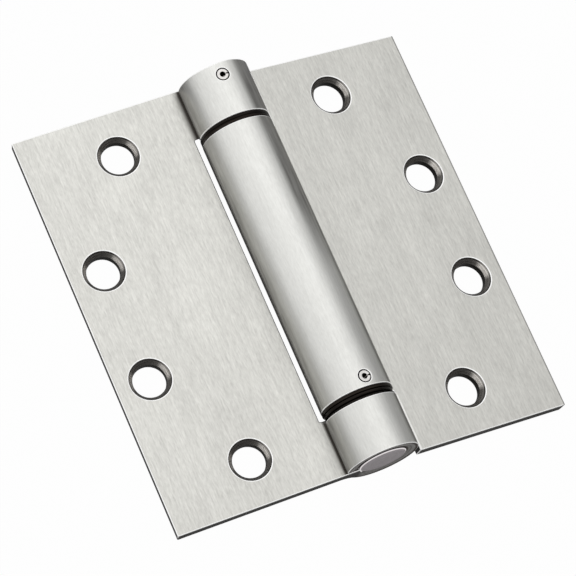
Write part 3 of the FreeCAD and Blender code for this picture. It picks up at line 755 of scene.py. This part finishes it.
def wall_steel():
    """The plate's cut edges: dark where they are sheared, partly as painted shade, paler and ringed on the
    knuckles' ends, with painted shade lines at their bore and outer borders.
    """
    sheared_and_shaded, faced = ((0.06, 0.058, 0.054), (0.15, 0.145, 0.14)), ((0.32, 0.31, 0.30), (0.64, 0.63, 0.61))
    material, tree, shader, tint = satin_steel("cut edge", *sheared_and_shaded, 0.42, 0.55, 0.4)
    s, y, depth = parts_of(tree, field(tree, "sheet"))
    on_knuckle = ranged(tree, s, TANGENT + 1.0, TANGENT + 3.0, 0.0, 1.0)
    two_toned(tree, tint, on_knuckle, sheared_and_shaded, faced)
    rings = tree.nodes.new("ShaderNodeCombineXYZ")
    tree.links.new(maths(tree, "MULTIPLY", depth, 2.2), rings.inputs["X"])
    tree.links.new(maths(tree, "MULTIPLY", s, 0.06), rings.inputs["Y"])
    cuts = ranged(tree, noise(tree, rings.outputs[0], 1.0, 2.0, 0.6), 0.52, 0.66, 0.0, 0.55)
    # Painted shade: dark lines along the bore and outer borders of the knuckles' ends
    inner = ranged(tree, depth, 0.45, 0.9, 0.97, 0.0)
    outer = ranged(tree, depth, THICK - 1.0, THICK - 0.7, 0.0, 0.92)
    lines = maths(tree, "MAXIMUM", cuts, inner, outer)
    darken_by_shade_and_dirt(tree, shader, tint, OIL_AND_SHADE, maths(tree, "MULTIPLY", lines, on_knuckle))
    return material


def burnished_glowing_steel():
    """Rounded edges, rubbed bright and given a painted glow, with painted black shade round the frame's
    notch, in the knuckles' bore and below.

    The door leaf's outer edge is a duller grey, which is painted shade.
    """
    material, tree, shader, tint = satin_steel("burnished edge with painted glow", (0.93, 0.93, 0.92), (1.0, 1.0, 0.99),
                                               0.26, 0.34, 0.1)
    shader.inputs["Metallic"].default_value = 0.5
    # Painted highlight: the edges glow a little
    paint_glow(tree, shader, tint.outputs["Color"], 0.16)
    z = parts_of(tree, object_place(tree))["Z"]
    s, y, depth = parts_of(tree, field(tree, "sheet"))
    # Painted shade on the edges near the floor
    under = ranged(tree, z, 0.0014, 0.0024, 0.95, 0.0)
    # Painted shade beside the frame leaf's notch
    notch_s = pattern_at(FRAME_NOTCH)
    beside = window(tree, s, notch_s - 0.8, notch_s - 0.6, TANGENT + 3.0, TANGENT + 6.0)
    between = ranged(tree, maths(tree, "ABSOLUTE", y), SLOT_HIGH + 0.3, SLOT_HIGH + 0.6, 1.0, 0.0)
    notch = maths(tree, "MULTIPLY", beside, between)
    # Painted shade in the knuckles' bore and on their lower edges
    on_knuckle = ranged(tree, s, TANGENT + 3.0, TANGENT + 4.0, 0.0, 1.0)
    at_bore, lower = ranged(tree, depth, 0.8, 1.2, 1.0, 0.0), ranged(tree, z, 0.0075, 0.0095, 0.95, 0.0)
    bore = maths(tree, "MULTIPLY", maths(tree, "MAXIMUM", at_bore, lower), on_knuckle)
    door_edge_shade = maths(tree, "MULTIPLY", ranged(tree, s, 0.4, 0.6, 0.72, 0.0), on_door(tree))
    darken_by_shade_and_dirt(tree, shader, tint, SHADE_BLACK, notch, bore, under, door_edge_shade)
    return material


def plug_steel():
    """The bottom plug: turned, with a painted highlight glowing on the rim of its face and painted black
    shade in the crack behind that.
    """
    material, tree, shader, tint = turned_steel("turned plug", (0.66, 0.61, 0.63), (0.86, 0.81, 0.83),
                                                0.42, 0.3, Rings=5.0, Chatter=2.5)
    along = parts_of(tree, field(tree, "turned"))["Z"]
    # Painted highlight on the rim
    rim = window(tree, along, 6.2, 6.28, 6.54, 6.6)
    paint_glow(tree, shader, mixed_colour(tree, rim, (0, 0, 0), (0.5, 0.48, 0.48)), 1.0)
    # Painted shade in the crack
    darken_by_shade_and_dirt(tree, shader, tint, SHADE_BLACK, ranged(tree, along, 6.58, 6.68, 0.0, 1.0))
    return material


def seat_steel():
    """The screw holes: tool marks on a cone, with painted shade where the cone faces towards the leaf's
    ends, under the rim and on the land below.
    """
    material, tree, shader, tint = turned_steel("countersunk seat", (0.46, 0.43, 0.40), (0.95, 0.92, 0.87),
                                                0.24, 0.6, Rings=7.0, Chatter=2.0)
    depth = parts_of(tree, field(tree, "sheet"))["Z"]
    sine = parts_of(tree, field(tree, "turned"))["Y"]
    # Painted shade: the land, the cone's top and the parts facing the leaf's ends
    land = ranged(tree, depth, SINK - 0.1, SINK + 0.1, 0.0, 1.0)
    from_side = maths(tree, "ABSOLUTE", maths(tree, "SUBTRACT", sine, 0.2))
    cone_facing_shade = ranged(tree, from_side, 0.28, 0.52, 0.0, 0.80)
    rim = maths(tree, "MULTIPLY", ranged(tree, depth, 0.4, 0.65, 1.0, 0.0),
                ranged(tree, from_side, 0.2, 0.5, 0.55, 0.97))
    darken_by_shade_and_dirt(tree, shader, tint, SHADE_BLACK, land, rim, cone_facing_shade)
    return material


PLATE = plate_steel()
SHEARED = wall_steel()
SEAT_METAL = seat_steel()
BURNISHED_GLOWING = burnished_glowing_steel()
PLUG_METAL = plug_steel()
SHADED_PIN_BORE = turned_steel("bore painted black as shade", (0.004, 0.004, 0.004), (0.012, 0.010, 0.009), 0.5, 0.2,
                        Rings=4.0, Chatter=2.0)[0]
# Painted shade: the washers and bushes are near black so that the gaps between the knuckles look shaded
GAP_SHADE_WASHER_METAL = turned_steel("washer painted black as the gap's shade", (0.006, 0.005, 0.004), (0.035, 0.03, 0.027), 0.38, 0.4,
                            Rings=4.0, Chatter=1.5)[0]
GAP_SHADE_BUSH_METAL = turned_steel("bush painted black as the gap's shade", (0.008, 0.006, 0.005), (0.045, 0.038, 0.032), 0.40, 0.4,
                          Rings=4.0, Chatter=1.5)[0]
PIN_METAL = satin_steel("rolled pin", (0.62, 0.60, 0.58), (0.92, 0.90, 0.88), 0.22, 0.34, 0.3,
                        Lines_Across=6000.0, Lines_Along=6000.0)[0]
SPRING_METAL = satin_steel("oiled spring wire", (0.14, 0.13, 0.12), (0.30, 0.28, 0.26), 0.25, 0.38, 0.3)[0]


# The pieces

def settle(piece, body, slot, *nodes):
    """Puts a piece on its body and stands it for its CAD nodes; slot is not used."""
    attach(piece, body)
    if nodes:
        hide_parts(*nodes)


leaf_metals = [PLATE, SHEARED, SEAT_METAL, BURNISHED_GLOWING]
frame_plate = rolled_leaf("frame_plate", FRAME_SIDE, [(BOTTOM_HIGH, TOP_LOW)], [(SLOT_LOW, SLOT_HIGH)],
                          LOCK_PIN, leaf_metals)
settle(frame_plate, "frame_half", "satin_steel", "frame_leaf")
door_plate = rolled_leaf("door_plate", DOOR_SIDE,
                         [(-HALF_LENGTH - 1, MIDDLE_LOW), (MIDDLE_HIGH, HALF_LENGTH + 1)], None,
                         ANCHOR_PIN, leaf_metals)
settle(door_plate, "door_half", "satin_steel", "door_leaf")


# Washers and bush flanges between the knuckles: the gap at each running face, how thick they are and
# how wide, and how far the bushes' sleeves reach in
RUN, TOP_THICK, THRUST, FLANGE = 0.05, 0.95, 0.85, 0.85
FULL_RING, UPPER_RING, LOWER_RING = 9.85, 9.50, 8.90
SHANK, PINTLE, SLEEVE = 5.0, 3.0, 8

thrust_low = BOTTOM_HIGH + RUN
thrust_high = thrust_low + THRUST + RUN
for label, node, inner, outer, low, high in (
        ("top_ring", "top_thrust_washer", SHANK + 0.1, FULL_RING, TOP_LOW - RUN - TOP_THICK, TOP_LOW - RUN),
        ("upper_bottom_ring", "upper_bottom_washer", PINTLE + 0.1, UPPER_RING, thrust_high,
         thrust_high + THRUST),
        ("lower_bottom_ring", "lower_bottom_washer", PINTLE + 0.1, LOWER_RING, thrust_low,
         thrust_low + THRUST)):
    section = rounded([(inner, low), (outer, low), (outer, high), (inner, high)], 0.2)
    washer = turned_piece(label, section, FRAME_SIDE, [GAP_SHADE_WASHER_METAL])
    settle(washer, "frame_half", "dark_washer", node)

for label, node, inner, outer, seat, inwards in (
        ("upper_bearing", "upper_bush", SHANK + RUN, 6.50, MIDDLE_HIGH, -1),
        ("lower_bearing", "lower_bush", PINTLE + RUN, 4.00, MIDDLE_LOW, 1)):
    near_face, tail = seat - inwards * RUN, seat + inwards * SLEEVE
    far_face = near_face - inwards * FLANGE
    section = [(inner, far_face), (FULL_RING, far_face), (FULL_RING, near_face), (outer, near_face),
               (outer, tail), (inner, tail)]
    bush = turned_piece(label, rounded(section, [0.2, 0.18, 0.18, 0.1, 0.2, 0.2]), DOOR_SIDE, [GAP_SHADE_BUSH_METAL])
    settle(bush, "door_half", "dark_bush", node)

# The bottom plug: a disc with a chamfered face, and the lower pintle above it
pivot_low, pivot_tip, plug, chamfer = -HALF_LENGTH + 0.02, MIDDLE_LOW + SLEEVE, 6.5, 0.25
pivot_outline = np.array([
    (0, pivot_low), (2, pivot_low), (4, pivot_low), (plug - chamfer - 0.05, pivot_low),
    (plug - chamfer + 0.05, pivot_low + 0.03), (plug - 0.05, pivot_low + chamfer - 0.07),
    (plug, pivot_low + chamfer + 0.05), (plug, 0.5 * (pivot_low + BOTTOM_HIGH)), (plug, BOTTOM_HIGH - 0.1),
    (plug - 0.1, BOTTOM_HIGH), (4.5, BOTTOM_HIGH), (PINTLE + 0.1, BOTTOM_HIGH),
    (PINTLE, BOTTOM_HIGH + 0.1), (PINTLE, pivot_tip - 0.3), (PINTLE - 0.3, pivot_tip), (1.5, pivot_tip),
    (0, pivot_tip)])
pivot = turned_piece("pivot_plug", pivot_outline, FRAME_SIDE, [PLUG_METAL], closed=False)
settle(pivot, "frame_half", "plug_steel", "bottom_pivot")


def slotted_pin(label, y0, side):
    """A rolled pin with a blind bore, its section carried round all but the slit's angle.

    The section is closed, of (radius, height). Its last part, from the bore's mouth, is painted near black
    as the bore's shade.
    """
    inner, outer, foot, head, floor = 0.72, 1.55, 4.3, 9.80, 8.2
    section = rounded([(0.05, foot), (outer, foot), (outer, head), (inner, head), (inner, floor),
                       (0.05, floor)], [0.01, 0.1, 0.14, 0.2, 0.01, 0.01])
    half_slit = np.arcsin(0.25 / outer)
    angle = np.linspace(half_slit, 2 * np.pi - half_slit, 73)[:, None]
    radius, height = section[None, :, 0], section[None, :, 1]
    points = np.stack([radius * np.cos(angle), y0 + radius * np.sin(angle), height + 0 * angle], -1)
    corners_outside = 4
    inside = np.arange(len(section)) >= corners_outside * (CORNER_LINES + 1) - 1
    finish = np.concatenate([np.tile(inside, len(angle) - 1), [False, False]]).astype(int)
    return make_piece(label, laid(points.reshape(-1, 3), side), tube_faces(len(angle), len(section)),
                      [PIN_METAL, SHADED_PIN_BORE], finish)


settle(slotted_pin("lock_pin", LOCK_PIN, FRAME_SIDE), "frame_half", "pin_steel", "tension_lock_pin")
settle(slotted_pin("coil_pin", ANCHOR_PIN, DOOR_SIDE), "door_half", "pin_steel", "anchor_pin")


def coil_spring():
    """Flat wire along one line: a leg through the axis, an arc out to the coil, the coil and the same
    back.

    The section is a rounded rectangle, upright along the barrel and square to the line across it.
    """
    radius, arc, width, height, turns = 5.12, 1.6, 2.2, 2.8, 15
    start, end = MIDDLE_LOW + 11.05 + height / 2, MIDDLE_HIGH - 9.35 - height / 2
    reach = np.sqrt((radius - arc) ** 2 - arc ** 2)
    lean = np.arctan2(arc, reach)
    leg = np.stack([np.linspace(-3.6, reach, 12), np.zeros(12)], -1)
    bend_angle = np.linspace(-np.pi / 2, lean, 14)[1:]
    bend = np.stack([reach + arc * np.cos(bend_angle), arc + arc * np.sin(bend_angle)], -1)
    fold = np.radians(-2 * DROOP)
    sweep = 2 * np.pi * turns + fold - 2 * lean
    coil_angle = lean + np.linspace(0, sweep, 48 * turns + 1)[1:-1]
    coil = radius * np.stack([np.cos(coil_angle), np.sin(coil_angle)], -1)
    first = np.concatenate([leg, bend])
    mirrored = (first * [1, -1])[::-1]
    ahead = fold + 2 * np.pi * turns
    spin = np.array([[np.cos(ahead), np.sin(ahead)], [-np.sin(ahead), np.cos(ahead)]])
    line = np.concatenate([first, coil, mirrored @ spin])
    share = np.clip((np.arange(len(line)) - len(first)) / len(coil), 0, 1)
    place = start + (end - start) * share
    tangent = np.gradient(line, axis=0)
    tangent /= np.linalg.norm(tangent, axis=1, keepdims=True)
    across = np.stack([tangent[:, 1], -tangent[:, 0]], -1)
    half_w, half_h = width / 2, height / 2
    section = rounded([(-half_w, -half_h), (half_w, -half_h), (half_w, half_h), (-half_w, half_h)], 0.5)
    flat = line[:, None] + section[None, :, :1] * across[:, None]
    along = place[:, None] + section[None, :, 1] + 0 * flat[..., 0]
    points = np.stack([-flat[..., 1], along, flat[..., 0]], -1)
    return make_piece("coil_spring", laid(points.reshape(-1, 3), DOOR_SIDE),
                      tube_faces(len(line), len(section)), [SPRING_METAL])


settle(coil_spring(), "door_half", "spring_steel", "torsion_spring")

# The solids that show as they are
CAD_PLUG = satin_steel("turned steel", (0.50, 0.46, 0.475), (0.68, 0.645, 0.66), 0.34, 0.46, 0.3,
                       Lines_Across=2500.0, Lines_Along=2500.0)[0]
for node in ("tension_adjuster", "spring_anchor"):
    for material_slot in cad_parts[node].material_slots:
        material_slot.material = CAD_PLUG


# Floor, light and camera

# Half the floor's side and its depth below the hinge, in metres, and its grey
FLOOR_HALF, FLOOR_DEPTH, FLOOR_GREY = 3.0, 0.0003, 0.30

# Strength round the barrel's axis: degrees from straight up towards +X, and the light from there
SKY = [(-180, 0.48), (-110, 0.53), (-90, 0.69), (-78, 0.82), (-58, 0.91), (-38, 0.92), (-18, 1.00),
       (2, 1.10), (12, 1.13), (22, 1.07), (32, 0.97), (42, 0.77), (52, 0.60), (62, 0.43), (72, 0.37),
       (90, 0.30), (180, 0.38)]
BRIGHTEST = max(light for _, light in SKY)

# The camera that the photo was fitted with: its place in metres, its two directions and its lens
CAMERA_PLACE = (-0.2995, -0.2347, 0.7281)
CAMERA_LOOK = np.array([0.36419292, 0.28332396, -0.88718152])
CAMERA_RIGHT = np.array([0.88864129, -0.39079566, 0.23999045])
LENS, SENSOR = 194.6, 36

floor_mesh = bpy.data.meshes.new("floor")
floor_mesh.from_pydata([(FLOOR_HALF * x, FLOOR_HALF * y, -FLOOR_DEPTH)
                        for x, y in ((-1, -1), (1, -1), (1, 1), (-1, 1))], [], [(0, 1, 2, 3)])
floor = bpy.data.objects.new("floor", floor_mesh)
bpy.context.scene.collection.objects.link(floor)
floor_material = bpy.data.materials.new("studio floor")
floor_material.use_nodes = True
tree = floor_material.node_tree
tree.nodes.clear()
output = tree.nodes.new("ShaderNodeOutputMaterial")
mix = tree.nodes.new("ShaderNodeMixShader")
lit = tree.nodes.new("ShaderNodeBsdfDiffuse")
lit.inputs["Color"].default_value = (FLOOR_GREY, FLOOR_GREY, FLOOR_GREY, 1)
white = tree.nodes.new("ShaderNodeEmission")
white.inputs["Strength"].default_value = 1.0
path = tree.nodes.new("ShaderNodeLightPath")
seen = maths(tree, "ADD", maths(tree, "MULTIPLY", path.outputs["Is Camera Ray"], 0.985),
             maths(tree, "MULTIPLY", path.outputs["Is Glossy Ray"], 0.1))
tree.links.new(seen, mix.inputs["Fac"])
tree.links.new(lit.outputs[0], mix.inputs[1])
tree.links.new(white.outputs[0], mix.inputs[2])
tree.links.new(mix.outputs[0], output.inputs["Surface"])
floor_mesh.materials.append(floor_material)

scene = bpy.context.scene
world = bpy.data.worlds.new("studio")
scene.world = world
world.use_nodes = True
tree = world.node_tree
background = tree.nodes["Background"]
x, y, z = parts_of(tree, tree.nodes.new("ShaderNodeTexCoord").outputs["Generated"])
ramp = tree.nodes.new("ShaderNodeValToRGB")
stops = ramp.color_ramp.elements
stops[0].position, stops[1].position = 0.0, 1.0
stops[0].color, stops[1].color = [(light / BRIGHTEST,) * 3 + (1,) for _, light in (SKY[0], SKY[-1])]
for angle, light in SKY[1:-1]:
    stops.new((angle + 180) / 360).color = (light / BRIGHTEST,) * 3 + (1,)
round_axis = ranged(tree, maths(tree, "ARCTAN2", x, z), -np.pi, np.pi, 0.0, 1.0)
tree.links.new(round_axis, ramp.inputs["Fac"])
front = ranged(tree, y, -0.95, -0.5, 0.05, 1.0)
strength = maths(tree, "MULTIPLY", ramp.outputs["Color"], BRIGHTEST, front)
tree.links.new(strength, background.inputs["Strength"])
background.inputs["Color"].default_value = (1.0, 1.0, 1.0, 1)

scene.view_settings.view_transform = "Standard"

camera_data = bpy.data.cameras.new("camera")
camera_data.lens = LENS
camera_data.sensor_width = SENSOR
camera_data.clip_start = 0.01
camera_data.clip_end = 20
camera = bpy.data.objects.new("camera", camera_data)
scene.collection.objects.link(camera)
right = CAMERA_RIGHT - CAMERA_RIGHT @ CAMERA_LOOK * CAMERA_LOOK
right /= np.linalg.norm(right)
turned = Matrix(np.stack([right, np.cross(right, CAMERA_LOOK), -CAMERA_LOOK], 1).tolist())
camera.matrix_world = Matrix.Translation(CAMERA_PLACE) @ turned.to_4x4()
scene.camera = camera
